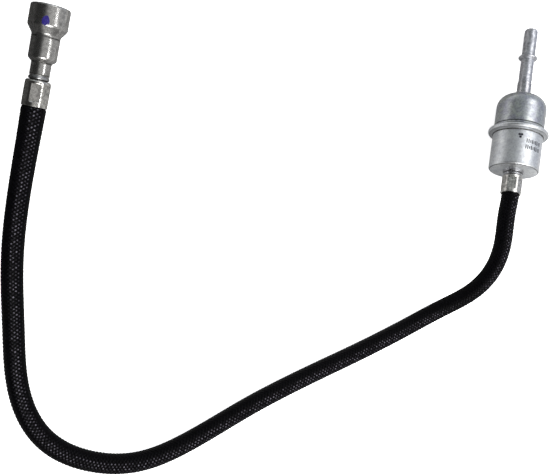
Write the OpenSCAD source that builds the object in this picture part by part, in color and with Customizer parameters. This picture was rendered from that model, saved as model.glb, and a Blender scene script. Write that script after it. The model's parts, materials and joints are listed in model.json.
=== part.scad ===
// In-line fuel filter with a braided hose and a push-on coupling.
// The can lies on a flat surface, on its seam and on its domed shoulder.
// The origin is on that surface, under the middle of the filter. The spigot
// points to +Y, the hose leaves towards -Y and lies loose on the surface.
// All lengths are in millimetres.

/* [Filter can] */
// Outer diameter of both cups
can_d = 29.2; // [28:0.1:30]
// Sheet thickness of the cups
sheet = 0.7; // [0.5:0.1:0.8]
// Outer diameter of the rolled seam
seam_d = 35.2; // [34.8:0.1:36]
// Seam to the top of the domed inlet cup
inlet_cup_len = 23.7; // [23.5:0.1:26]
// Seam to the flat end of the outlet cup
outlet_cup_len = 24.1; // [23.2:0.1:25]
// Radius of the inlet cup's shoulder
shoulder_r = 8; // [6:0.5:8]
// Radius of the outlet cup's edge
edge_r = 1.4; // [1.1:0.1:3]

/* [Inlet spigot] */
// Diameter of the spigot tube, a 5/16 inch fuel line end
spigot_d = 7.89; // [7.8:0.01:8]
// Diameter of the locking bead
bead_d = 11.2; // [10.5:0.1:11.6]
// Seam to the tip of the spigot
spigot_reach = 69; // [66:0.5:74]
// Tip of the spigot to the middle of the bead
bead_from_tip = 19.2; // [17:0.1:20]
// Bore of the spigot
spigot_bore_d = 6.4; // [5.6:0.1:6.6]

/* [Filter element] */
// Outer diameter of the pleated paper
media_d = 24.4; // [22:0.1:24.6]
// Inner diameter of the pleated paper
media_bore_d = 10.6; // [10.2:0.1:12]
// Number of pleats
pleats = 36; // [24:1:44]
// Thickness of the paper across a pleat's wall
paper = 0.5; // [0.4:0.05:0.6]

/* [Hose] */
// Outer diameter over the braid
hose_d = 10.4; // [10:0.1:10.6]
// Diameter between the inner tube and the braid
liner_d = 8.4; // [8:0.1:8.8]
// Bore of the inner tube
hose_bore_d = 6.4; // [6.3:0.1:6.6]

/* [Ferrules] */
// Outer diameter of a ferrule
ferrule_d = 11.9; // [11.8:0.1:12.1]
// Length of the filter's ferrule
filter_ferrule_len = 11.2; // [11:0.1:12]
// Length of the coupling's ferrule
ferrule_len = 12.4; // [12:0.1:13]
// Distance across a ferrule's crimped flats
crimp_across = 10.9; // [10.8:0.02:11.2]
// Number of crimped flats
crimp_flats = 6; // [6:1:8]

/* [Coupling] */
// Outer diameter of the bell
bell_d = 18.4; // [17.8:0.1:18.8]
// Outer diameter of the seal chamber behind the bell
chamber_d = 13.2; // [13:0.1:13.3]
// Outer diameter of the neck
neck_d = 9.3; // [8.8:0.1:9.6]
// Hose end of the ferrule to the mouth of the bell
coupling_len = 46.8; // [46.6:0.1:48]
// Bore of the guide bushing that takes the mating tube
socket_d = 8.1; // [8:0.02:8.2]

/* [Hidden] */
fine = 96;

// Radii
can_r = can_d / 2;
inside_r = can_r - sheet;
spigot_r = spigot_d / 2;
bead_r = bead_d / 2;
hose_r = hose_d / 2;
ferrule_r = ferrule_d / 2;
bell_r = bell_d / 2;
chamber_r = chamber_d / 2;
neck_r = neck_d / 2;
socket_r = socket_d / 2;
stem_bore_r = 2;
stem_r = 3.5;
barb_r = 3;
barb_root_r = 2.6;
groove_r = 2.9;

// The seam: a flange of the outlet cup rolled round the inlet cup's flange
seam_round = 1.35;
seam_mid = -0.25;
seam_ring_r = seam_d / 2 - seam_round;
seam_bottom = seam_mid - seam_round;
seam_top = seam_mid + seam_round;
flange_top = seam_top - sheet;
flange_bottom = flange_top - sheet;
seam_fillet = 1.2;
flange_r = seam_ring_r - 0.05;

// The inlet cup
shoulder_from = inlet_cup_len - shoulder_r;
shoulder_ring_r = can_r - shoulder_r;
step_round = 0.85;
step_at = seam_top + step_round + 0.05;

// The spigot
tip_round = 1.55;
tip_ring_r = spigot_r - tip_round;
tip_from = spigot_reach - tip_round;
bead_at = spigot_reach - bead_from_tip;
spigot_inner_end = inlet_cup_len - 1.4;

// The filter element
cap_thick = 0.9;
cap_r = media_d / 2 + 0.7;
cap_lip = 1.5;
media_from = -outlet_cup_len + 5.7;
media_to = inlet_cup_len - 10.2;
media_len = media_to - media_from;
seal_seat_r = 4.9;
spring_wire_r = 0.5;
spring_r = 5.7;
spring_turns = 4.5;
spring_from = media_to + cap_thick + spring_wire_r;
spring_to = inlet_cup_len - sheet - spring_wire_r;

// The ferrules: each has its hose end at 0 and a lip at its other end
ferrule_lip = 1;
hose_depth = ferrule_len - ferrule_lip;
filter_hose_depth = filter_ferrule_len - ferrule_lip;
outlet_gap = 2.9;
outlet_ferrule_at = -outlet_cup_len - outlet_gap - filter_ferrule_len;
filter_crimp_turn = 18;
coupling_crimp_turn = -10;

// The coupling, from its ferrule's hose end to its mouth
stem_bead_r = 4.9;
stem_bead_from = ferrule_len + 0.2;
stem_bead_to = stem_bead_from + 2;
stem_end = stem_bead_to + 7.6;
coupling_wall = 1;
chamber_from = coupling_len - 23.8;
chamber_to = coupling_len - 13.9;
cone_in_r = 1.5;
cone_out_r = 2;
cone_turn = 35;
cone_mid = bell_r - cone_out_r + cone_out_r * cos(cone_turn);
cone_start_r = chamber_r + cone_in_r - cone_in_r * cos(cone_turn);
cone_rise = (cone_mid - cone_start_r) * tan(90 - cone_turn);
bell_from = chamber_to + (cone_in_r + cone_out_r) * sin(cone_turn) + cone_rise;
mouth_round = 0.9;
o_ring_wire_r = 0.89;
o_ring_r = chamber_r - coupling_wall - o_ring_wire_r - 0.005;
insert_r = chamber_r - coupling_wall - 0.02;
o_ring_rear_at = chamber_from + 2.65;
o_ring_front_at = o_ring_rear_at + 3.9;

// How the filter lies: its seam and its shoulder both touch the surface
lie_a = seam_ring_r - shoulder_ring_r;
lie_c = shoulder_from - seam_mid;
dip = atan2(lie_a, lie_c) - asin((shoulder_r - seam_round) / norm([lie_a, lie_c]));
seam_height = seam_ring_r * cos(dip) + seam_round + seam_mid * sin(dip);
filter_y_max = tip_from * cos(dip) + tip_ring_r * sin(dip) + tip_round;
filter_y_min = outlet_ferrule_at * cos(dip) - ferrule_r * sin(dip);
filter_y_mid = (filter_y_max + filter_y_min) / 2;

// How the coupling lies: its bell and its ferrule's hose end both touch
coupling_x = -269;
coupling_y = -87.8;
coupling_turn = 6.2;
bell_corner_r = bell_r - cone_out_r;
lift = atan2(bell_corner_r - ferrule_r, bell_from)
    + asin(cone_out_r / norm([bell_corner_r - ferrule_r, bell_from]));

// The hose, from inside the filter's ferrule to inside the coupling's
function filter_point(s) =
    [0, s * cos(dip) - filter_y_mid, seam_height - s * sin(dip)];
function coupling_point(s) = [
    coupling_x - s * sin(coupling_turn) * cos(lift),
    coupling_y + s * cos(coupling_turn) * cos(lift),
    ferrule_r * cos(lift) + s * sin(lift)
];
hose_route = [
    filter_point(outlet_ferrule_at + filter_hose_depth),
    filter_point(outlet_ferrule_at),
    [0, -65.3, 25.5],
    [2.5, -82.8, 25.5],
    [1.5, -99.3, 23.5],
    [-4, -113.3, 18.5],
    [-15.5, -127.3, 10.5],
    [-37.5, -146.8, 5.7],
    [-79, -176.8, hose_r],
    [-122, -208.3, hose_r],
    [-149, -230.8, hose_r],
    [-173.5, -245.3, hose_r],
    [-196, -248.3, hose_r],
    [-222, -240.8, hose_r],
    [-238, -223.8, hose_r],
    [-250, -192.8, hose_r],
    [-259.5, -159.8, hose_r],
    [-265, -126.8, hose_r],
    coupling_point(0),
    coupling_point(hose_depth)
];
hose_sides = 12;

// Points on a circle about c from angle a0 to angle a1
function arc(c, r, a0, a1, n = 10) =
    [for (i = [0:n]) let (a = a0 + (a1 - a0) * i / n) c + r * [cos(a), sin(a)]];

// A turned solid from [radius, distance along the axis] points
module turned(outline) {
    rotate_extrude($fn = fine) polygon(outline);
}

// A plain ring
module ring(r_in, r_out, from, to) {
    turned([[r_in, from], [r_out, from], [r_out, to], [r_in, to]]);
}

// Puts a piece whose axis is Z, with the seam at 0, where the filter lies
module on_filter() {
    translate([0, -filter_y_mid, seam_height]) rotate([-90 - dip, 0, 0]) children();
}

// Puts a piece whose axis is Z, with the ferrule's hose end at 0, on the coupling
module on_coupling() {
    translate([coupling_x, coupling_y, ferrule_r * cos(lift)])
        rotate([0, 0, coupling_turn])
            rotate([lift - 90, 0, 0])
                children();
}

// Domed cup with a stepped bead and a flange that the seam holds
module inlet_shell() {
    inner_round = shoulder_r - sheet;
    color("#a3aaaf") on_filter() turned(concat(
        [[inside_r, flange_bottom], [flange_r, flange_bottom], [flange_r, flange_top]],
        [[can_r, flange_top]],
        arc([can_r, step_at], step_round, -90, 90),
        arc([shoulder_ring_r, shoulder_from], shoulder_r, 0, 90, 20),
        [[spigot_r, inlet_cup_len], [spigot_r, inlet_cup_len - sheet]],
        arc([shoulder_ring_r, shoulder_from], inner_round, 90, 0, 20)
    ));
}

// Straight cup whose rim is rolled round the inlet cup's flange
module outlet_shell() {
    corner = [can_r - edge_r, edge_r - outlet_cup_len];
    fillet = [can_r + seam_fillet, seam_bottom - seam_fillet];
    rim = [seam_ring_r, seam_mid];
    lip_r = can_r + 0.7;
    color("#c3c8cb") on_filter() turned(concat(
        [[stem_r, -outlet_cup_len]],
        arc(corner, edge_r, -90, 0),
        arc(fillet, seam_fillet, 180, 90),
        arc(rim, seam_round, -90, 90, 14),
        [[lip_r, seam_top], [lip_r, flange_top]],
        arc(rim, seam_round - sheet, 90, -90, 14),
        arc(fillet, seam_fillet + sheet, 90, 180),
        arc(corner, edge_r - sheet, 0, -90),
        [[stem_r, sheet - outlet_cup_len]]
    ));
}

// Flat seal between the two flanges
module seam_seal() {
    color("#2a2a2a") on_filter()
        ring(can_r + 0.2, flange_r, flange_bottom - 0.6, flange_bottom);
}

// Male tube end with a locking bead and a rounded, narrowed tip
module inlet_spigot() {
    bore_r = spigot_bore_d / 2;
    tip_bore_r = bore_r - 1;
    apex_round = 0.45;
    bead_half = 1.45;
    color("#9a9fa6") on_filter() turned(concat(
        [[bore_r, spigot_inner_end], [spigot_r, spigot_inner_end]],
        [[spigot_r, bead_at - bead_half]],
        arc([bead_r - apex_round, bead_at], apex_round, -50, 50, 6),
        [[spigot_r, bead_at + bead_half]],
        arc([tip_ring_r, tip_from], tip_round, 0, 90),
        [[tip_bore_r, spigot_reach], [tip_bore_r, tip_from + 0.4]],
        [[bore_r, tip_from - 1.6]]
    ));
}

// Stepped collar and short sleeve that braze the spigot to the dome
module inlet_collar() {
    foot = inlet_cup_len;
    sleeve_r = spigot_r + 0.28;
    color("#b4b8bb") on_filter() turned(concat(
        [[spigot_r, foot], [6.3, foot]],
        arc([5.9, foot + 0.4], 0.4, 0, 90, 5),
        [[5.3, foot + 0.8]],
        arc([5.0, foot + 1.3], 0.3, 0, 90, 4),
        arc([sleeve_r + 0.6, foot + 2.2], 0.6, 270, 180, 6),
        [[sleeve_r, foot + 9.2], [spigot_r, foot + 9.5]]
    ));
}

// Barbed tail of a tube: from is its free end, and it runs towards +Z
function barbs(from, count, pitch) = concat(
    [[stem_bore_r, from], [barb_root_r - 0.3, from]],
    [for (i = [0:count - 1], k = [0, 1])
        k == 0 ? [barb_r, from + pitch * (i + 1) - 0.5]
               : [barb_root_r, from + pitch * (i + 1) - 0.4]]
);

// Barbed tube that carries the fuel out of the can and into the hose
module outlet_nipple() {
    hose_end = outlet_ferrule_at + 0.8;
    groove_from = outlet_ferrule_at + filter_hose_depth;
    groove_to = outlet_ferrule_at + filter_ferrule_len;
    face = sheet - outlet_cup_len;
    inner_end = media_from - 1.1;
    color("#8f9499") on_filter() turned(concat(
        barbs(hose_end, 4, 2.2),
        [[groove_r, groove_from], [groove_r, groove_to], [stem_r, groove_to]],
        [[stem_r, face], [5, face], [5, face + 0.8], [stem_r, face + 1]],
        [[stem_r, inner_end], [stem_bore_r, inner_end]]
    ));
}

// Stepped neck ring between the can's end face and the ferrule
module outlet_collar() {
    face = -outlet_cup_len;
    end = face - outlet_gap + 0.1;
    color("#aeb2b5") on_filter() turned(concat(
        [[stem_r, face], [stem_r, end], [5, end]],
        arc([5, end + 0.4], 0.4, -90, 0, 5),
        [[5.4, face - 1.6], [5.1, face - 1.4], [5.1, face - 1.1]],
        arc([5.6, face - 0.5], 0.6, -90, 0, 5),
        [[6.2, face]]
    ));
}

// Crimped sleeve with flats, a rounded shoulder and an inward lip
module ferrule(length) {
    crimp_from = 1.9;
    crimp_to = length - 1.7;
    depth = length - ferrule_lip;
    corner_r = crimp_across / 2 / cos(180 / crimp_flats);
    shoulder = 1.1;
    difference() {
        union() {
            turned(concat(
                [[groove_r + 0.1, 0], [ferrule_r - 0.25, 0], [ferrule_r, 0.25]],
                [[ferrule_r, crimp_from], [groove_r + 0.1, crimp_from]]
            ));
            intersection() {
                ring(groove_r + 0.1, ferrule_r, crimp_from, crimp_to);
                translate([0, 0, crimp_from])
                    linear_extrude(crimp_to - crimp_from)
                        circle(r = corner_r, $fn = crimp_flats);
            }
            turned(concat(
                [[groove_r + 0.1, crimp_to], [ferrule_r, crimp_to]],
                arc([ferrule_r - shoulder, length - shoulder], shoulder, 0, 90, 8),
                [[groove_r + 0.1, length]]
            ));
        }
        translate([0, 0, -1]) cylinder(r = hose_r + 0.04, h = depth + 1, $fn = fine);
    }
}

module filter_ferrule() {
    color("#c9c6be") on_filter()
        translate([0, 0, outlet_ferrule_at])
            rotate(filter_crimp_turn)
                ferrule(filter_ferrule_len);
}

// Paper folded into a ring of pleats
module filter_media() {
    half = 180 / pleats;
    crest = media_d / 2;
    root = media_bore_d / 2;
    // The outer skin and the inner skin, a paper's thickness apart
    function fold(out, inn) =
        [for (i = [0:2 * pleats - 1])
            (i % 2 == 0 ? out : inn) * [cos(i * half), sin(i * half)]];
    color("#d8c48a") on_filter()
        translate([0, 0, media_from])
            linear_extrude(media_len)
                difference() {
                    polygon(fold(crest, root + 3 * paper));
                    polygon(fold(crest - 3 * paper, root));
                }
}

// Closed end cap, with a raised seat for the spring
module inlet_end_cap() {
    top = media_to + cap_thick;
    color("#7d8388") on_filter() turned([
        [0, media_to], [cap_r - 0.5, media_to], [cap_r - 0.5, media_to - cap_lip],
        [cap_r, media_to - cap_lip], [cap_r, top], [4.6, top], [4.2, top + 0.8],
        [0, top + 0.8]
    ]);
}

// Open end cap, with a collar that holds the element's seal
module outlet_end_cap() {
    back = media_from - cap_thick;
    collar_r = seal_seat_r + 0.6;
    color("#7d8388") on_filter() turned([
        [4.2, media_from], [4.2, back], [seal_seat_r, back], [seal_seat_r, back - 2.4],
        [collar_r, back - 2.4], [collar_r, back], [cap_r, back],
        [cap_r, media_from + cap_lip], [cap_r - 0.5, media_from + cap_lip],
        [cap_r - 0.5, media_from]
    ]);
}

// Perforated tube inside the pleats
module centre_tube() {
    hole_r = 0.9;
    rows = 5;
    round = 6;
    wall_r = media_bore_d / 2 - 0.4;
    color("#8d9297") on_filter() difference() {
        ring(wall_r - 0.5, wall_r, media_from, media_to);
        for (row = [0:rows - 1], i = [0:round - 1])
            translate([0, 0, media_from + (row + 0.7) * media_len / (rows + 0.4)])
                rotate([0, 90, (i + row % 2 / 2 + 0.2) * 360 / round])
                    translate([0, 0, wall_r - 1.5])
                        cylinder(r = hole_r, h = 2.5, $fn = 24);
    }
}

// Rubber seal between the open end cap's collar and the nipple
module element_seal() {
    back = media_from - cap_thick;
    color("#242424") on_filter() ring(stem_r, seal_seat_r, back - 2.2, back - 0.2);
}

// Coil spring that presses the element on to its seal
module element_spring() {
    per_turn = 20;
    sides = 8;
    steps = spring_turns * per_turn;
    function centre(i) = [
        spring_r * cos(360 * i / per_turn),
        spring_r * sin(360 * i / per_turn),
        spring_from + (spring_to - spring_from) * i / steps
    ];
    function wire_ring(i) = let (a = 360 * i / per_turn)
        [for (k = [0:sides - 1]) let (b = 360 * k / sides)
            centre(i) + spring_wire_r * [cos(b) * cos(a), cos(b) * sin(a), sin(b)]];
    color("#6c7277") on_filter() polyhedron(
        points = [for (i = [0:steps], p = wire_ring(i)) p],
        faces = concat(
            [[for (k = [0:sides - 1]) k]],
            [for (i = [0:steps - 1], k = [0:sides - 1]) let (n = (k + 1) % sides)
                [i * sides + k, (i + 1) * sides + k, (i + 1) * sides + n, i * sides + n]],
            [[for (k = [sides - 1:-1:0]) steps * sides + k]]
        )
    );
}

// Direction of the hose at a point of its route
function unit(v) = v / norm(v);
function heading(p, i) =
    i == 0 ? unit(p[1] - p[0])
    : i == len(p) - 1 ? unit(p[i] - p[i - 1])
    : unit(unit(p[i] - p[i - 1]) + unit(p[i + 1] - p[i]));

// Ring of points round the route, with a corner straight below its centre
function hose_ring(p, i, r) =
    let (t = heading(p, i), side = unit(cross(t, [0, 0, 1])), up = cross(side, t))
    [for (k = [0:hose_sides - 1]) let (a = 360 * k / hose_sides - 90)
        p[i] + r * (cos(a) * side + sin(a) * up)];

// Hollow tube swept along the route, between two radii
module hose_layer(r_in, r_out) {
    n = len(hose_route);
    m = hose_sides;
    inner = n * m;
    polyhedron(
        points = concat(
            [for (i = [0:n - 1], p = hose_ring(hose_route, i, r_out)) p],
            [for (i = [0:n - 1], p = hose_ring(hose_route, i, r_in)) p]
        ),
        faces = concat(
            [for (i = [0:n - 2], k = [0:m - 1]) let (a = i * m, b = a + m, j = (k + 1) % m)
                [a + k, b + k, b + j, a + j]],
            [for (i = [0:n - 2], k = [0:m - 1])
                let (a = inner + i * m, b = a + m, j = (k + 1) % m)
                [a + k, a + j, b + j, b + k]],
            [for (k = [0:m - 1]) let (j = (k + 1) % m)
                [k, j, inner + j, inner + k]],
            [for (k = [0:m - 1]) let (a = (n - 1) * m, j = (k + 1) % m)
                [a + k, inner + a + k, inner + a + j, a + j]]
        )
    );
}

// Fuel-proof inner tube of the hose
module hose_liner() {
    color("#303033") hose_layer(hose_bore_d / 2, liner_d / 2);
}

// Woven braid over the inner tube
module hose_cover() {
    color("#151517") hose_layer(liner_d / 2, hose_r);
}

module coupling_ferrule() {
    color("#c9c6be") on_coupling() rotate(coupling_crimp_turn) ferrule(ferrule_len);
}

// Barbed tube with a ring bead that stops the ferrule
module coupling_stem() {
    bead_round = 0.9;
    color("#a9abac") on_coupling() turned(concat(
        barbs(0.8, 4, 2.5),
        [[groove_r, hose_depth], [groove_r, ferrule_len], [stem_r, ferrule_len]],
        [[stem_r, stem_bead_from]],
        arc([stem_bead_r - bead_round, stem_bead_from + bead_round], bead_round, -90, 60),
        [[stem_r + 0.8, stem_bead_to], [stem_r, stem_bead_to]],
        [[stem_r, stem_end], [stem_bore_r, stem_end]]
    ));
}

// Neck, seal chamber and bell of the coupling, in one drawn piece
module coupling_housing() {
    wall = coupling_wall;
    step = [chamber_r - 1.6, chamber_from];
    neck = [neck_r + 0.6, chamber_from - 2.5];
    cone_in = [chamber_r + cone_in_r, chamber_to];
    cone_out = [bell_corner_r, bell_from];
    mouth = [bell_r - mouth_round, coupling_len - mouth_round];
    color("#9b9a96") on_coupling() turned(concat(
        [[stem_r, stem_bead_to], [neck_r - 0.2, stem_bead_to]],
        [[neck_r, stem_bead_to + 0.3]],
        arc(neck, 0.6, 180, 100, 6),
        arc(step, 1.6, -70, 0, 8),
        arc(cone_in, cone_in_r, 180, 180 - cone_turn, 8),
        arc(cone_out, cone_out_r, -cone_turn, 0, 8),
        arc(mouth, mouth_round, 0, 90, 8),
        [[bell_r - 1.4, coupling_len], [bell_r - 1.4, coupling_len - 0.7]],
        [[bell_r - wall, coupling_len - 1.2]],
        arc(cone_out, cone_out_r - wall, 0, -cone_turn, 8),
        arc(cone_in, cone_in_r + wall, 180 - cone_turn, 180, 8),
        [[chamber_r - wall, chamber_from + 0.2], [chamber_r - wall - 0.6, chamber_from - 0.4]],
        [[stem_r, chamber_from - 0.8]]
    ));
}

// Snap-in retainer: a ring whose fingers close on the mating tube's bead
module coupling_retainer() {
    ring_r = bell_r - coupling_wall - 0.05;
    base = bell_from + 0.3;
    fingers = 4;
    finger_turn = 52;
    tip = coupling_len - 1.8;
    color("#3c4a5c") on_coupling() union() {
        turned([
            [ring_r - 1.2, base], [ring_r - 0.3, base], [ring_r, base + 0.4],
            [ring_r, base + 1.6], [ring_r - 1.2, base + 1.6]
        ]);
        for (i = [0:fingers - 1])
            rotate(i * 360 / fingers)
                rotate_extrude(angle = finger_turn, $fn = fine) polygon([
                    [ring_r - 1.2, base + 1], [ring_r - 0.3, base + 1.5],
                    [5.6, tip], [4.5, tip], [4.7, tip - 0.9]
                ]);
    }
}

// Plastic bushing that guides the mating tube and holds the seals in
module guide_bushing() {
    back = o_ring_front_at + 1.05;
    mouth = chamber_to + 3.5;
    color("#1f5f3a") on_coupling() turned([
        [socket_r, back], [insert_r, back], [insert_r, chamber_to],
        [insert_r + 0.3, chamber_to + 1.3], [insert_r + 1, chamber_to + 2.3],
        [insert_r + 1, mouth], [socket_r + 0.6, mouth], [socket_r, mouth - 0.6]
    ]);
}

// Seal ring at a distance along the coupling's axis
module o_ring(at) {
    on_coupling() translate([0, 0, at])
        rotate_extrude($fn = fine) translate([o_ring_r, 0]) circle(r = o_ring_wire_r, $fn = 32);
}

module o_ring_front() {
    color("#3a2a1c") o_ring(o_ring_front_at);
}

module o_ring_rear() {
    color("#3a2a1c") o_ring(o_ring_rear_at);
}

// Plastic ring that keeps the two seals apart
module o_ring_spacer() {
    gap = o_ring_wire_r + 0.1;
    color("#c8c4b4") on_coupling()
        ring(socket_r, insert_r, o_ring_rear_at + gap, o_ring_front_at - gap);
}

inlet_shell();
outlet_shell();
seam_seal();
inlet_spigot();
inlet_collar();
outlet_nipple();
outlet_collar();
filter_ferrule();
filter_media();
inlet_end_cap();
outlet_end_cap();
centre_tube();
element_seal();
element_spring();
hose_liner();
hose_cover();
coupling_ferrule();
coupling_stem();
coupling_housing();
coupling_retainer();
guide_bushing();
o_ring_front();
o_ring_rear();
o_ring_spacer();
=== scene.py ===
"""Looks of an in-line fuel filter with a braided hose and a push-on coupling.

Lengths are in metres, in the frame of the CAD model: +Z is up, the origin is on
the floor under the middle of the filter, and the spigot points to +Y.
"""

import json
import math

import bpy
import numpy as np
from mathutils import Matrix, Vector


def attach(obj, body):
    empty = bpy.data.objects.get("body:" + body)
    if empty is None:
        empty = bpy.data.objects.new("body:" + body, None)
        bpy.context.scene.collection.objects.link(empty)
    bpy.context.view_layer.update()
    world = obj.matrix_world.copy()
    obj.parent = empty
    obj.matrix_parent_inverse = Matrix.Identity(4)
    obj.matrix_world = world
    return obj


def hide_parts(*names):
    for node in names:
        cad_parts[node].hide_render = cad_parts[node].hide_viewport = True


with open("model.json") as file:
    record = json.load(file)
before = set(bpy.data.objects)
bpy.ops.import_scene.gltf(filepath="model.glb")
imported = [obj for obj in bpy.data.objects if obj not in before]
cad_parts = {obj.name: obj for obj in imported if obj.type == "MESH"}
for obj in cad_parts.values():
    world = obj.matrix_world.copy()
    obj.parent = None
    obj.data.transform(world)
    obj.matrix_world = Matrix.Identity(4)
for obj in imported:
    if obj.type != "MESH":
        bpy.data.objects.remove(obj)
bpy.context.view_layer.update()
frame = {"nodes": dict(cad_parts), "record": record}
nodes = frame["nodes"]
mounts = {m["name"]: m for m in frame["record"]["mounts"]}
TURN = 2 * math.pi
MM = 0.001


# ------------------------------------------------------------------ axes, sizes

def unit(v):
    v = np.array(v, float)
    return v / np.linalg.norm(v)


class Axis:
    """A straight axis of turned pieces: s runs along it, and angle 0 is its upper side."""

    def __init__(self, mount, mount_at):
        self.way = unit(mount["axis"])
        self.origin = np.array(mount["pos_m"]) - mount_at * self.way
        self.side = unit(np.cross(self.way, (0, 0, 1)))
        self.up = np.cross(self.side, self.way)

    def at(self, s, radius=0.0, angle=0.0):
        """Points at s, out from the axis by radius, turned from its upper side to its right."""
        s, radius, angle = np.broadcast_arrays(s, radius, angle)
        out = np.cos(angle)[..., None] * self.up + np.sin(angle)[..., None] * self.side
        return self.origin + s[..., None] * self.way + radius[..., None] * out


# On the filter s is 0 at the seam; on the coupling, at its ferrule's hose end
filter_axis = Axis(mounts["inlet_spigot_end"], 60.0 * MM)
coupling_axis = Axis(mounts["coupling_socket"], 33.2 * MM)

CAN_R = 14.6 * MM
BELL_R = 9.2 * MM
BELL_FROM = 37.72 * MM
BELL_EDGE_R = 2 * MM
HOSE_R = 5.2 * MM
FILTER_FERRULE_LEN = 11.2 * MM
COUPLING_FERRULE_LEN = 12.4 * MM
FERRULE_LIP = 1.0 * MM
FILTER_FERRULE_AT = -38.2 * MM
# The hose's swelling behind the coupling's ferrule: how thick, how soon full, how fast gone
SWELL = 0.75 * MM
SWELL_START = 1.3 * MM
SWELL_FADE = 28 * MM

# Where the hose goes between its two ferrules, as in the CAD model
ROUTE = [
    (0.0000, -0.0653, 0.0255),
    (0.0025, -0.0828, 0.0255),
    (0.0015, -0.0993, 0.0235),
    (-0.0040, -0.1133, 0.0185),
    (-0.0155, -0.1273, 0.0105),
    (-0.0375, -0.1468, 0.0057),
    (-0.0790, -0.1768, 0.0052),
    (-0.1220, -0.2083, 0.0052),
    (-0.1490, -0.2308, 0.0052),
    (-0.1735, -0.2453, 0.0052),
    (-0.1960, -0.2483, 0.0052),
    (-0.2220, -0.2408, 0.0052),
    (-0.2380, -0.2238, 0.0052),
    (-0.2500, -0.1928, 0.0052),
    (-0.2595, -0.1598, 0.0052),
    (-0.2650, -0.1268, 0.0052),
]


# --------------------------------------------------------------- the hose's line

def clamped_spline(points, start_way, end_way, per_span=40):
    """Close points on the cubic spline through points, with these ways at its ends."""
    p = np.array(points, float)
    h = np.linalg.norm(np.diff(p, axis=0), axis=1)
    n = len(p)
    a = np.eye(n)
    b = np.zeros((n, 3))
    b[0], b[-1] = start_way, end_way
    for i in range(1, n - 1):
        a[i, i - 1:i + 2] = h[i], 2 * (h[i - 1] + h[i]), h[i - 1]
        b[i] = 3 * (h[i] * (p[i] - p[i - 1]) / h[i - 1] + h[i - 1] * (p[i + 1] - p[i]) / h[i])
    slope = np.linalg.solve(a, b)
    t = np.linspace(0, 1, per_span, endpoint=False)[:, None]
    spans = [
        (1 + 2 * t) * (1 - t) ** 2 * p[i] + t * (1 - t) ** 2 * h[i] * slope[i]
        + t * t * (3 - 2 * t) * p[i + 1] + t * t * (t - 1) * h[i] * slope[i + 1]
        for i in range(n - 1)
    ]
    return np.vstack(spans + [p[-1:]])


class Line:
    """A smooth line in space, with a frame along it that never turns over.

    Lift gives the least height of its points, from their distance to its end.
    """

    def __init__(self, points, step=0.5 * MM, lift=None):
        run = np.concatenate([[0], np.cumsum(np.linalg.norm(np.diff(points, axis=0), axis=1))])
        self.length = run[-1]
        self.s = np.linspace(0, self.length, int(self.length / step) + 1)
        self.centre = np.stack([np.interp(self.s, run, points[:, k]) for k in range(3)], 1)
        if lift:
            self.centre[:, 2] = np.maximum(self.centre[:, 2], lift(self.length - self.s))
        way = np.gradient(self.centre, self.s, axis=0)
        side = np.cross(way, (0, 0, 1))
        self.side = side / np.linalg.norm(side, axis=1)[:, None]
        up = np.cross(self.side, way)
        self.up = up / np.linalg.norm(up, axis=1)[:, None]

    def at(self, s, radius=0.0, angle=0.0):
        """Points at s along the line, out from it by radius towards angle."""
        s, radius, angle = np.broadcast_arrays(s, radius, angle)
        centre, side, up = (
            np.stack([np.interp(s, self.s, v[:, k]) for k in range(3)], -1)
            for v in (self.centre, self.side, self.up)
        )
        out = np.cos(angle)[..., None] * up + np.sin(angle)[..., None] * side
        return centre + radius[..., None] * out


def swell(from_end):
    """How much fatter the hose is, at this distance from its end in the coupling's ferrule.

    The braid is bunched where it comes out of that ferrule, and settles further on.
    """
    out = np.maximum(from_end - (COUPLING_FERRULE_LEN - FERRULE_LIP), 0)
    start = np.clip(out / SWELL_START, 0, 1)
    return SWELL * start * start * (3 - 2 * start) * np.exp(-out / SWELL_FADE)


def hose_line():
    """The hose's centreline, from inside the filter's ferrule to inside the coupling's."""
    start = filter_axis.at(FILTER_FERRULE_AT)
    end = coupling_axis.at(0.0)
    free = clamped_spline([start, *ROUTE, end], -filter_axis.way, coupling_axis.way)
    free[:, 2] = np.maximum(free[:, 2], HOSE_R)
    first = filter_axis.at(FILTER_FERRULE_AT + FILTER_FERRULE_LEN - FERRULE_LIP)
    last = coupling_axis.at(COUPLING_FERRULE_LEN - FERRULE_LIP)
    return Line(np.vstack([first, free, last]), lift=lambda from_end: np.where(
        from_end > COUPLING_FERRULE_LEN, HOSE_R + swell(from_end), 0))


# ------------------------------------------------------------------- mesh making

def piece(name, points, faces, material, sharp=35, replaces=()):
    """A mesh piece that rides on the one rigid body."""
    mesh = bpy.data.meshes.new(name)
    mesh.from_pydata(np.asarray(points, float).reshape(-1, 3).tolist(), [], faces)
    mesh.polygons.foreach_set("use_smooth", [True] * len(mesh.polygons))
    if sharp:
        mesh.set_sharp_from_angle(angle=math.radians(sharp))
    mesh.materials.append(material)
    made = bpy.data.objects.new(name, mesh)
    bpy.context.scene.collection.objects.link(made)
    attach(made, "root")
    if replaces:
        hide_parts(*replaces)
    return made


def grid_faces(rows, columns, close_rows=False, start=0):
    """Quads between closed rows of points, columns points in each."""
    last_row = rows if close_rows else rows - 1
    faces = []
    for i in range(last_row):
        a, b = start + i * columns, start + (i + 1) % rows * columns
        for k in range(columns):
            j = (k + 1) % columns
            faces.append((a + k, a + j, b + j, b + k))
    return faces


# --------------------------------------------------------------------- materials

def node(tree, kind, inputs=None, output=0, **settings):
    """Adds a shader node, sets or links its inputs, and returns one of its outputs."""
    made = tree.nodes.new("ShaderNode" + kind)
    for key, value in settings.items():
        setattr(made, key, value)
    for socket, value in (inputs or {}).items():
        if isinstance(value, bpy.types.NodeSocket):
            tree.links.new(value, made.inputs[socket])
        else:
            made.inputs[socket].default_value = value
    return made.outputs[output]


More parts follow.
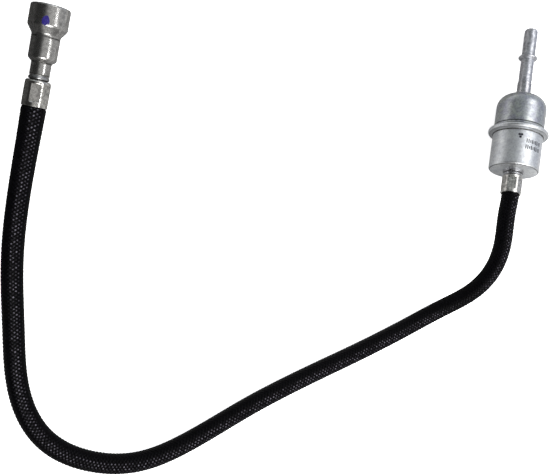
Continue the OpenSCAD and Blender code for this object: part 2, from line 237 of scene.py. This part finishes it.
def new_material(name, **sockets):
    """A material with a Principled shader, and these constant values on its sockets."""
    made = bpy.data.materials.new(name)
    made.use_nodes = True
    tree = made.node_tree
    shader = tree.nodes["Principled BSDF"]
    for socket, value in sockets.items():
        shader.inputs[socket.replace("_", " ")].default_value = value
    return made, tree, shader


def grey(value):
    return (value, value, value, 1)


def maths(tree, operation, a, b=0.0):
    return node(tree, "Math", {0: a, 1: b}, operation=operation)


def spread(tree, value, low, high, to_low=0.0, to_high=1.0):
    """Value's stretch from low to high, eased on to another range."""
    return node(tree, "MapRange", {"Value": value, "From Min": low, "From Max": high,
                                   "To Min": to_low, "To Max": to_high},
                interpolation_type="SMOOTHSTEP")


def mixed(tree, share, a, b, mode="MIX"):
    """Colour a, with b mixed in by share."""
    return node(tree, "Mix", {0: share, 6: a, 7: b}, output=2, data_type="RGBA", blend_type=mode)


def place(tree):
    return node(tree, "TexCoord", output="Object")


def noise(tree, where, size, detail=3.0, roughness=0.5, seed=0.0):
    """Soft noise whose features are about size metres across."""
    return node(tree, "TexNoise", {"Vector": where, "W": seed, "Scale": 1 / size,
                                   "Detail": detail, "Roughness": roughness},
                noise_dimensions="4D")


def round_axis(tree, axis):
    """(distance along an axis, turn about it in radians) of the shaded point."""
    off = node(tree, "VectorMath", {0: place(tree), 1: axis.origin.tolist()}, operation="SUBTRACT")
    parts = [
        node(tree, "VectorMath", {0: off, 1: way.tolist()}, output="Value", operation="DOT_PRODUCT")
        for way in (axis.way, axis.side, axis.up)
    ]
    return parts[0], node(tree, "Math", {0: parts[1], 1: parts[2]}, operation="ARCTAN2")


def bump(tree, shader, height, depth):
    """Bump on the shader from a height of 0 to 1, depth metres deep."""
    normal = node(tree, "Bump", {"Strength": 1.0, "Distance": depth, "Height": height})
    tree.links.new(normal, shader.inputs["Normal"])


def metal(name, axis, colour, tint, roughness, patch=5 * MM, relief=0.0025, waves=0.03,
          blotchy=0.62, painted_shade=()):
    """Plated steel: cloudy passivation, blotches, fine grain and faint lines round an axis.

    The grain's and the waves' depths are in millimetres, and blotchy is how light the
    darkest blotches are. Painted shade, a dark band for the shade in a groove, under a lip
    or along an edge, lies at each (distance along the axis, half width, strength).
    """
    made, tree, shader = new_material(name, Metallic=1.0)
    where = place(tree)
    along, turn = round_axis(tree, axis)
    clouds = spread(tree, noise(tree, where, patch, 4, 0.6), 0.35, 0.65)
    blotch = noise(tree, where, 1.1 * MM, 3, 0.6, 9.0)
    grain = noise(tree, where, 0.35 * MM, 4, 0.65, 3.0)
    drawn_out = node(tree, "CombineXYZ", {0: along, 1: maths(tree, "MULTIPLY", turn, 0.2 * MM)})
    rings = noise(tree, drawn_out, 0.12 * MM, 2, 0.6, 7.0)
    base = mixed(tree, clouds, colour, tint)
    shade = maths(tree, "ADD", maths(tree, "MULTIPLY", grain, 0.16),
                  maths(tree, "MULTIPLY", rings, 0.12))
    shade = maths(tree, "ADD", shade, spread(tree, blotch, 0.3, 0.7, blotchy, 1.04))
    shades = node(tree, "CombineColor", {0: shade, 1: shade, 2: shade})
    base = mixed(tree, 1.0, base, shades, "MULTIPLY")
    rough = maths(tree, "ADD", maths(tree, "MULTIPLY", clouds, 0.08), roughness)
    rough = maths(tree, "ADD", rough, maths(tree, "MULTIPLY", grain, 0.08))
    # Painted shade: darken the colour and roughen it in a band at each given place along the axis, broken
    # up by the blotches
    for middle, width, strength in painted_shade:
        off = maths(tree, "ABSOLUTE", maths(tree, "SUBTRACT", along, middle))
        near = spread(tree, off, 0, width, strength, 0)
        near = maths(tree, "MULTIPLY", near, spread(tree, blotch, 0.3, 0.6, 0.6, 1))
        base = mixed(tree, near, base, (0.035, 0.033, 0.03, 1))
        rough = maths(tree, "ADD", rough, maths(tree, "MULTIPLY", near, 0.25))
    tree.links.new(base, shader.inputs["Base Color"])
    tree.links.new(rough, shader.inputs["Roughness"])
    fine = maths(tree, "MULTIPLY", maths(tree, "ADD", grain, rings), relief / 2)
    wavy = maths(tree, "MULTIPLY", noise(tree, where, 2.4 * MM, 2, 0.5, 13.0), waves)
    bump(tree, shader, maths(tree, "ADD", fine, wavy), MM)
    return made


def rubber(name, colour=0.016):
    """Smooth dark rubber with a faint bloom."""
    made, tree, shader = new_material(name, Specular_IOR_Level=0.4)
    where = place(tree)
    bloom = noise(tree, where, 2.5 * MM, 4, 0.6)
    base = mixed(tree, spread(tree, bloom, 0.4, 0.7), grey(colour), grey(colour * 1.8))
    tree.links.new(base, shader.inputs["Base Color"])
    tree.links.new(spread(tree, bloom, 0.3, 0.7, 0.42, 0.6), shader.inputs["Roughness"])
    bump(tree, shader, noise(tree, where, 0.2 * MM, 3, 0.6, 2.0), 0.01 * MM)
    return made


def yarn(name):
    """Near-black satin yarn: fine filaments, and pale flecks painted on the strands' crowns as glints.

    It reads two attributes of the braid: strand is (place across from -1 to 1, distance
    along in mm, a number whose sign is the strand's hand), and upper is the share of painted glint, from
    how far the hose's side faces the light.
    """
    made, tree, shader = new_material(name, Specular_IOR_Level=0.05)
    strand = node(tree, "Attribute", output="Vector", attribute_name="strand")
    upper = node(tree, "Attribute", output="Fac", attribute_name="upper")
    across, along, own = (node(tree, "SeparateXYZ", {0: strand}, output=k) for k in range(3))
    thread = node(tree, "CombineXYZ", {0: maths(tree, "MULTIPLY", across, 2.6),
                                       1: maths(tree, "MULTIPLY", along, 0.5), 2: own})
    filament = node(tree, "TexNoise", {"Vector": thread, "Scale": 1.0, "Detail": 3.0,
                                       "Roughness": 0.6})
    rise = maths(tree, "COSINE", maths(tree, "MULTIPLY", along, TURN * MM / PICK))
    crown = spread(tree, maths(tree, "MULTIPLY", rise, maths(tree, "SIGN", own)), 0.62, 0.95)
    crown = maths(tree, "MULTIPLY", crown, spread(tree, maths(tree, "ABSOLUTE", across), 0.65, 0.25))
    glint_spots = spread(tree, noise(tree, place(tree), 1.6 * MM, 2, 0.5, 5.0), 0.42, 0.64, 0.08, 1.0)
    # Painted highlight: pale flecks on the crowns, on the side that faces the light, with some left out at
    # random
    painted_glint = maths(tree, "MULTIPLY", maths(tree, "MULTIPLY", crown, glint_spots), upper)
    base = mixed(tree, spread(tree, filament, 0.4, 0.6), grey(0.0008), (0.0022, 0.0021, 0.0028, 1))
    base = mixed(tree, painted_glint, base, (0.105, 0.100, 0.118, 1))
    tree.links.new(base, shader.inputs["Base Color"])
    tree.links.new(spread(tree, filament, 0.3, 0.7, 0.24, 0.16), shader.inputs["Roughness"])
    bump(tree, shader, filament, 0.012 * MM)
    return made


def paper(name):
    """Resin-treated paper with a fibrous surface."""
    made, tree, shader = new_material(name)
    where = place(tree)
    fibre = noise(tree, where, 0.8 * MM, 5, 0.65)
    base = mixed(tree, spread(tree, fibre, 0.3, 0.7), (0.62, 0.47, 0.22, 1), (0.75, 0.62, 0.36, 1))
    tree.links.new(base, shader.inputs["Base Color"])
    tree.links.new(spread(tree, fibre, 0.3, 0.7, 0.75, 0.92), shader.inputs["Roughness"])
    bump(tree, shader, fibre, 0.04 * MM)
    return made


def plastic(name, colour):
    """Moulded plastic with a slight flow pattern."""
    roughness = 0.45
    made, tree, shader = new_material(name, Specular_IOR_Level=0.5)
    where = place(tree)
    flow = noise(tree, where, 1.5 * MM, 4, 0.6)
    dark = [c * 0.75 for c in colour[:3]] + [1]
    base = mixed(tree, spread(tree, flow, 0.3, 0.7), dark, colour)
    tree.links.new(base, shader.inputs["Base Color"])
    rough = spread(tree, flow, 0.3, 0.7, roughness - 0.06, roughness + 0.1)
    tree.links.new(rough, shader.inputs["Roughness"])
    bump(tree, shader, noise(tree, where, 0.15 * MM, 2, 0.5, 4.0), 0.008 * MM)
    return made


def ink(name, colour):
    """Printing ink, thin and slightly uneven."""
    made, tree, shader = new_material(name, Specular_IOR_Level=0.3)
    cover = noise(tree, place(tree), 1.2 * MM, 4, 0.6)
    light = [min(1, c * 2.2 + 0.02) for c in colour[:3]] + [1]
    base = mixed(tree, spread(tree, cover, 0.5, 0.75), colour, light)
    tree.links.new(base, shader.inputs["Base Color"])
    tree.links.new(spread(tree, cover, 0.3, 0.7, 0.4, 0.6), shader.inputs["Roughness"])
    return made


# --------------------------------------------------------------------------- hose

# Strands that wind each way, the length of one full turn, and the distance between crossings
STRANDS = 12
LEAD = 22.2 * MM
PICK = LEAD / STRANDS
RINGS_PER_PICK = 4
STRAND_WIDE = 1.42 * MM
STRAND_THICK = 0.42 * MM
STRAND_SWAY = 0.19 * MM
BRAID_MID_R = HOSE_R - STRAND_SWAY - STRAND_THICK / 2 - 0.01 * MM
CORE_R = 4.45 * MM
# The side of the hose that faces the light, where the yarn gets painted glints, and the cosine at which
# they start
GLINT_WAY = unit((0.10, -0.04, 1.0))
GLINT_FROM = 0.87
# A strand's outline: (share of its half width, share of its half thickness)
STRAND_OUTLINE = [(-1, 0), (-0.6, 0.84), (0, 1), (0.6, 0.84), (1, 0), (0, -0.7)]


def hose_core(line, material):
    """The smooth inner tube, closed at both ends, that the braid lies on."""
    around = 32
    s = np.linspace(0, line.length, int(line.length / (2 * MM)) + 1)
    angle = np.arange(around) / around * TURN
    radius = CORE_R + swell(line.length - s)
    points = line.at(s[:, None], radius[:, None], angle[None, :]).reshape(-1, 3)
    faces = grid_faces(len(s), around)
    faces.append(tuple(range(around)))
    faces.append(tuple(range((len(s) - 1) * around, len(s) * around))[::-1])
    return piece("hose_inner_tube", points, faces, material,
                 replaces=("hose_liner", "hose_cover"))


def braid(name, line, hand, material):
    """All strands that wind one way: each goes over and under those of the other hand."""
    slope = math.atan(TURN * BRAID_MID_R / LEAD)
    rings = int(line.length / (PICK / RINGS_PER_PICK)) + 1
    s = np.linspace(0, line.length, rings)[:, None]
    u = np.array([o[0] for o in STRAND_OUTLINE])[None, :] * STRAND_WIDE / 2
    h = np.array([o[1] for o in STRAND_OUTLINE])[None, :] * STRAND_THICK / 2
    sway = hand * STRAND_SWAY * np.cos(TURN * s / PICK)
    middle = BRAID_MID_R + swell(line.length - s)
    u = u * middle / BRAID_MID_R
    columns = len(STRAND_OUTLINE)
    points, faces, strand, upper = [], [], [], []
    for k in range(STRANDS):
        angle = hand * TURN * s / LEAD + TURN * k / STRANDS
        across = np.clip(s - u * math.sin(slope), 0, line.length)
        turned = angle + hand * u * math.cos(slope) / middle
        start = len(points) * rings * columns
        points.append(line.at(across, middle + sway + h, turned).reshape(-1, 3))
        faces += grid_faces(rings, columns, start=start)
        faces.append(tuple(start + i for i in range(columns)))
        faces.append(tuple(start + (rings - 1) * columns + i for i in reversed(range(columns))))
        out = line.at(across, 1.0, turned) - line.at(across, 0.0, turned)
        # Share of painted glint: how far this point of the braid faces the light
        upper.append(np.clip((out @ GLINT_WAY - GLINT_FROM) / 0.1, 0, 1).ravel())
        own = np.full_like(across, k + 20 * hand)
        place_on = np.broadcast_arrays(u / STRAND_WIDE * 2, s / MM, own)
        strand.append(np.stack(place_on, -1).reshape(-1, 3))
    made = piece(name, np.vstack(points), faces, material, sharp=None)
    data = made.data.attributes.new("strand", "FLOAT_VECTOR", "POINT")
    data.data.foreach_set("vector", np.vstack(strand).astype(np.float32).ravel())
    data = made.data.attributes.new("upper", "FLOAT", "POINT")
    data.data.foreach_set("value", np.concatenate(upper).astype(np.float32))
    return made


# ----------------------------------------------------------------------- ferrules

def ferrule(name, axis, hose_end, length, ridge, material, node_name):
    """Crimped sleeve: six flats between two round bands, with one of its ridges at an angle."""
    outer, inner, lip_r = 5.95 * MM, 5.24 * MM, 3.0 * MM
    apothem, flats = 5.45 * MM, 6
    crimp_from, crimp_to, ease = 1.9 * MM, length - 1.7 * MM, 0.35 * MM
    shoulder = 1.1 * MM
    around = 200
    # (distance from the hose's end, radius)
    outline = [(0.0, inner), (0.0, outer - 0.22 * MM), (0.06 * MM, outer - 0.07 * MM),
               (0.2 * MM, outer)]
    outline += [(s, outer) for s in np.linspace(0.45 * MM, length - shoulder, 48)]
    outline += [(length - shoulder + shoulder * math.sin(a), outer - shoulder + shoulder * math.cos(a))
                for a in np.linspace(0.15, math.pi / 2, 8)]
    outline += [(length, lip_r), (length - FERRULE_LIP, lip_r), (length - FERRULE_LIP, inner)]
    s = np.array([o[0] for o in outline])[:, None]
    r = np.array([o[1] for o in outline])[:, None]
    angle = (np.arange(around) / around * TURN)[None, :]
    off_flat = (angle - ridge) % (TURN / flats) - TURN / flats / 2
    flat_r = np.minimum(apothem / np.cos(off_flat), outer + 0.03 * MM)
    ease_in = np.clip((s - crimp_from) / ease, 0, 1)
    ease_out = np.clip((crimp_to - s) / ease, 0, 1)
    share = np.minimum(ease_in, ease_out)
    share = share * share * (3 - 2 * share) * (r >= outer)
    points = axis.at(hose_end + s, r * (1 - share) + flat_r * share, angle)
    faces = grid_faces(len(outline), around, close_rows=True)
    return piece(name, points, faces, material, sharp=24, replaces=(node_name,))


# -------------------------------------------------------------------------- marks

def printed(name, axis, skin, shapes, material):
    """Thin printed marks on a turned face whose radius at s is skin(s).

    Each shape is (s, angle, outline of (along, across)).
    """
    rings = 4
    thick = 0.02 * MM
    points, faces = [], []
    for s, angle, outline in shapes:
        start = len(points)
        along = s + np.array([o[0] for o in outline])
        turned = np.array([o[1] for o in outline]) / skin(s)
        points.append(axis.at(s, skin(s) + thick, angle))
        for i in range(1, rings + 1):
            here = s + (along - s) * i / rings
            points += list(axis.at(here, skin(here) + thick, angle + turned * i / rings))
        points += list(axis.at(along, skin(along) - thick, angle + turned))
        n = len(outline)
        faces += [(start, start + 1 + k, start + 1 + (k + 1) % n) for k in range(n)]
        faces += grid_faces(rings + 1, n, start=start + 1)
        faces.append(tuple(start + 1 + rings * n + k for k in reversed(range(n))))
    return piece(name, points, faces, material, sharp=50)


def can_skin(s):
    """Radius of the can's straight cup."""
    return CAN_R + 0 * s


def bell_skin(s):
    """Radius of the bell, down to the rounded edge that its cone starts from."""
    below = np.clip(BELL_FROM - s, 0, 1.1 * MM)
    return BELL_R - BELL_EDGE_R + np.sqrt(BELL_EDGE_R ** 2 - below ** 2)


def oval(along, across, count=20, waver=0.0):
    """An oval outline, with a slightly uneven edge if waver isn't 0."""
    angles = np.arange(count) / count * TURN
    size = 1 + waver * (np.sin(3 * angles + 1) + 0.6 * np.sin(5 * angles))
    return list(zip(along / 2 * size * np.cos(angles), across / 2 * size * np.sin(angles)))


def bar(along, across):
    """A short bar's outline."""
    a, b = along / 2, across / 2
    return [(-a, b), (a, b), (a, -b), (-a, -b)]


# -------------------------------------------------------------------- build it all

line = hose_line()
# The dark bands given to the metal below, at places along its axis, are painted shade in grooves, under
# lips and along edges
looks = {
    "can_inlet": metal("plated_dome", filter_axis, (0.62, 0.655, 0.63, 1), (0.44, 0.45, 0.51, 1), 0.26,
                       relief=0.004, waves=0.05,
                       painted_shade=((1.3 * MM, 0.6 * MM, 1.0), (3.2 * MM, 0.7 * MM, 1.0))),
    "can_outlet": metal("plated_cup", filter_axis, (0.84, 0.86, 0.87, 1), (0.70, 0.72, 0.75, 1), 0.36,
                        blotchy=0.76, painted_shade=((0.85 * MM, 0.35 * MM, 1.0), (-1.5 * MM, 0.25 * MM, 0.5),
                                             (-2.3 * MM, 0.8 * MM, 1.0), (-23.85 * MM, 0.25 * MM, 0.9))),
    "spigot_steel": metal("plated_spigot", filter_axis, (0.74, 0.75, 0.79, 1), (0.48, 0.49, 0.52, 1), 0.32,
                          patch=2.5 * MM, relief=0.004, waves=0.06),
    "collar_steel": metal("plated_collar", filter_axis, (0.66, 0.66, 0.68, 1), (0.45, 0.45, 0.47, 1), 0.2,
                          patch=3 * MM, painted_shade=((24.6 * MM, 0.4 * MM, 0.8), (-25.4 * MM, 0.4 * MM, 0.9))),
    "ferrule_steel": metal("nickel", filter_axis, (0.80, 0.78, 0.74, 1), (0.44, 0.43, 0.41, 1), 0.14,
                           patch=1.6 * MM, waves=0.07, blotchy=0.82),
    "coupling_steel": metal("turned_steel", coupling_axis,
                            (0.68, 0.67, 0.65, 1), (0.38, 0.375, 0.365, 1), 0.17,
                            patch=1.4 * MM, relief=0.0015, blotchy=0.74,
                            painted_shade=((32.3 * MM, 0.7 * MM, 1.0), (20.6 * MM, 0.7 * MM, 1.0),
                                   (15.1 * MM, 0.4 * MM, 1.0))),
    "stem_steel": metal("drawn_steel", coupling_axis, (0.50, 0.50, 0.50, 1), (0.34, 0.34, 0.35, 1), 0.2,
                        painted_shade=((12.7 * MM, 0.4 * MM, 1.0),)),
    "cap_steel": metal("tin_plate", filter_axis, (0.45, 0.46, 0.47, 1), (0.36, 0.36, 0.37, 1), 0.25),
    "spring_steel": metal("oiled_wire", filter_axis, (0.30, 0.30, 0.31, 1), (0.22, 0.21, 0.20, 1), 0.25),
    "retainer_steel": metal("spring_sheet", coupling_axis,
                            (0.36, 0.37, 0.39, 1), (0.28, 0.29, 0.31, 1), 0.2),
    "braid": yarn("black_yarn"),
    "hose_rubber": rubber("hose_rubber"),
    "seal_rubber": rubber("seal_rubber", 0.024),
    "media_paper": paper("filter_paper"),
    "bushing_plastic": plastic("green_nylon", (0.03, 0.16, 0.08, 1)),
    "spacer_plastic": plastic("pale_nylon", (0.62, 0.60, 0.52, 1)),
}
for part in frame["record"]["subparts"]:
    mesh = nodes[part["node"]].data
    mesh.materials.clear()
    mesh.materials.append(looks[part["material_slot"]])

core = hose_core(line, looks["hose_rubber"])
right_strands = braid("braid_right_hand", line, 1, looks["braid"])
left_strands = braid("braid_left_hand", line, -1, looks["braid"])
coupling_sleeve = ferrule("coupling_crimp_sleeve", coupling_axis, 0.0, COUPLING_FERRULE_LEN,
                          math.radians(20), looks["ferrule_steel"], "coupling_ferrule")
ferrule("filter_crimp_sleeve", filter_axis, FILTER_FERRULE_AT, FILTER_FERRULE_LEN, math.radians(48),
        looks["ferrule_steel"], "filter_ferrule")

# Marks on the can, at (distance along its axis in mm, turn in degrees): three dots, and two
# rows of upright bars in place of printed figures
DOTS_AT = ((-5.7, -38.6), (-5.7, -33.4), (-7.2, -36))
ROWS_FROM = ((-8.9, -20.0), (-12.7, -21.0))
BAR_HEIGHTS = (2.5, 2.5, 1.6, 2.5, 1.6, 2.5, 2.5, 1.6, 2.5)
BAR_PITCH = 4.6
BAR_WIDE = 0.62 * MM

dot = oval(1.55 * MM, 1.55 * MM, 16)
marks = [(s * MM, math.radians(turn), dot) for s, turn in DOTS_AT]
marks += [
    (s * MM, math.radians(turn), bar(tall * MM, BAR_WIDE))
    for s, first in ROWS_FROM
    for turn, tall in zip(first + BAR_PITCH * np.arange(len(BAR_HEIGHTS)), BAR_HEIGHTS)
]
printed("flow_mark", filter_axis, can_skin, marks, ink("grey_ink", (0.012, 0.012, 0.018, 1)))
printed("ink_dot", coupling_axis, bell_skin, [
    (38.9 * MM, -2.1 * MM / BELL_R, oval(4.6 * MM, 3.4 * MM, 28, 0.05)),
], ink("violet_ink", (0.010, 0.005, 0.11, 1)))

filter_axis.at(FILTER_FERRULE_AT).tolist()
line.at(line.s[::4]).tolist()


# -------------------------------------------------------------- floor, light, view

def floor():
    """A plain pale floor, very slightly mottled, with painted shadow in what the metal mirrors."""
    half = 3.0
    mesh = bpy.data.meshes.new("floor")
    corners = [(-half, -half, 0), (half, -half, 0), (half, half, 0), (-half, half, 0)]
    mesh.from_pydata(corners, [], [(0, 1, 2, 3)])
    made, tree, shader = new_material("pale_floor", Specular_IOR_Level=0.0, Emission_Strength=0.8)
    shader.inputs["Emission Color"].default_value = grey(1.0)
    mottle = noise(tree, place(tree), 0.15, 3)
    tree.links.new(mixed(tree, mottle, grey(0.84), grey(0.88)), shader.inputs["Base Color"])
    tree.links.new(spread(tree, mottle, 0.3, 0.7, 0.6, 0.7), shader.inputs["Roughness"])
    # Painted shadow in what the metal mirrors, along X: darkest round the coupling, paler towards the
    # filter, with a darker strip under the filter, for the contact shadows near the parts
    mirrored = node(tree, "LightPath", output="Is Glossy Ray")
    near = node(tree, "SeparateXYZ", {0: place(tree)}, output=0)
    levels = mixed(tree, spread(tree, near, -0.275, -0.255), grey(0.06), grey(0.36))
    levels = mixed(tree, spread(tree, near, -0.22, -0.10), levels, grey(0.76))
    levels = mixed(tree, spread(tree, maths(tree, "ABSOLUTE", near), 0.045, 0.025), levels, grey(0.28))
    mirrored_shadow = node(tree, "Emission", {"Color": levels})
    both = node(tree, "MixShader", {0: mirrored, 1: shader.outputs[0], 2: mirrored_shadow})
    tree.links.new(both, tree.nodes["Material Output"].inputs["Surface"])
    mesh.materials.append(made)
    made = bpy.data.objects.new("floor", mesh)
    bpy.context.scene.collection.objects.link(made)


def area_light(name, place_at, aim, size, power, mirrored):
    """A square light. The metal mirrors it only if mirrored is true."""
    data = bpy.data.lights.new(name, "AREA")
    data.shape = "SQUARE"
    data.size = size
    data.energy = power
    made = bpy.data.objects.new(name, data)
    made.location = place_at
    made.rotation_mode = "QUATERNION"
    made.rotation_quaternion = (Vector(aim) - Vector(place_at)).to_track_quat("-Z", "Y")
    made.visible_glossy = mirrored
    bpy.context.scene.collection.objects.link(made)


def room():
    """A room to mirror: dark at -X and low at -Y, with soft windows at -Y and high over +Y."""
    world = bpy.data.worlds.new("studio")
    world.use_nodes = True
    bpy.context.scene.world = world
    tree = world.node_tree
    sky = tree.nodes["Background"]
    way = node(tree, "TexCoord", output="Generated")
    x, y, z = (node(tree, "SeparateXYZ", {0: way}, output=k) for k in range(3))
    walls = mixed(tree, spread(tree, x, -0.60, -0.14), grey(0.02), grey(0.42))
    low = maths(tree, "MULTIPLY", spread(tree, y, -0.4, -0.8), spread(tree, z, 0.3, 0.1))
    walls = mixed(tree, low, walls, grey(0.02))
    far = mixed(tree, spread(tree, x, -0.75, 0.1), (0.32, 0.34, 0.34, 1), (0.46, 0.49, 0.56, 1))
    walls = mixed(tree, spread(tree, y, 0.22, 0.42), walls, far)
    # Each window: the way to its middle, the angles where its soft edge starts and ends
    # (radians from the middle), and its brightness
    windows = (
        ((0.14, 0.57, 0.81), 0.04, 0.46, 2.4),
        ((0.11, -0.62, 0.77), 0.10, 0.34, 9.0),
    )
    for aim, inside, outside, level in windows:
        toward = node(tree, "VectorMath", {0: way, 1: unit(aim).tolist()}, output="Value",
                      operation="DOT_PRODUCT")
        share = spread(tree, toward, math.cos(outside), math.cos(inside))
        walls = mixed(tree, share, walls, grey(level))
    tree.links.new(walls, sky.inputs["Color"])
    seen = node(tree, "LightPath", output="Is Camera Ray")
    pale = node(tree, "Background", {"Color": grey(1.1)})
    both = node(tree, "MixShader", {0: seen, 1: sky.outputs[0], 2: pale})
    tree.links.new(both, tree.nodes["World Output"].inputs["Surface"])


def camera():
    """Looks steeply down on the hose's loop from the coupling's side.

    Its place, turn and lens were fitted to the photograph.
    """
    data = bpy.data.cameras.new("camera")
    data.sensor_width = 36.0
    data.lens = 49.09
    data.clip_start = 0.01
    made = bpy.data.objects.new("camera", data)
    right = unit((0.8772932, 0.2613405, 0.4025640))
    back = -unit((0.4076812, 0.0368687, -0.9123797))
    up = np.cross(back, right)
    turn = Matrix([right, up, back]).transposed()
    made.matrix_world = Matrix.Translation((-0.2977, -0.1299, 0.3760)) @ turn.to_4x4()
    bpy.context.scene.collection.objects.link(made)
    bpy.context.scene.camera = made


floor()
room()
area_light("overhead", (-0.05, 0.0, 1.3), (-0.1, -0.1, 0), size=2.6, power=34, mirrored=False)
area_light("key", (0.41, -0.01, 0.97), (-0.15, -0.1, 0), size=0.13, power=0.75, mirrored=True)
camera()
bpy.context.scene.view_settings.view_transform = "Standard"
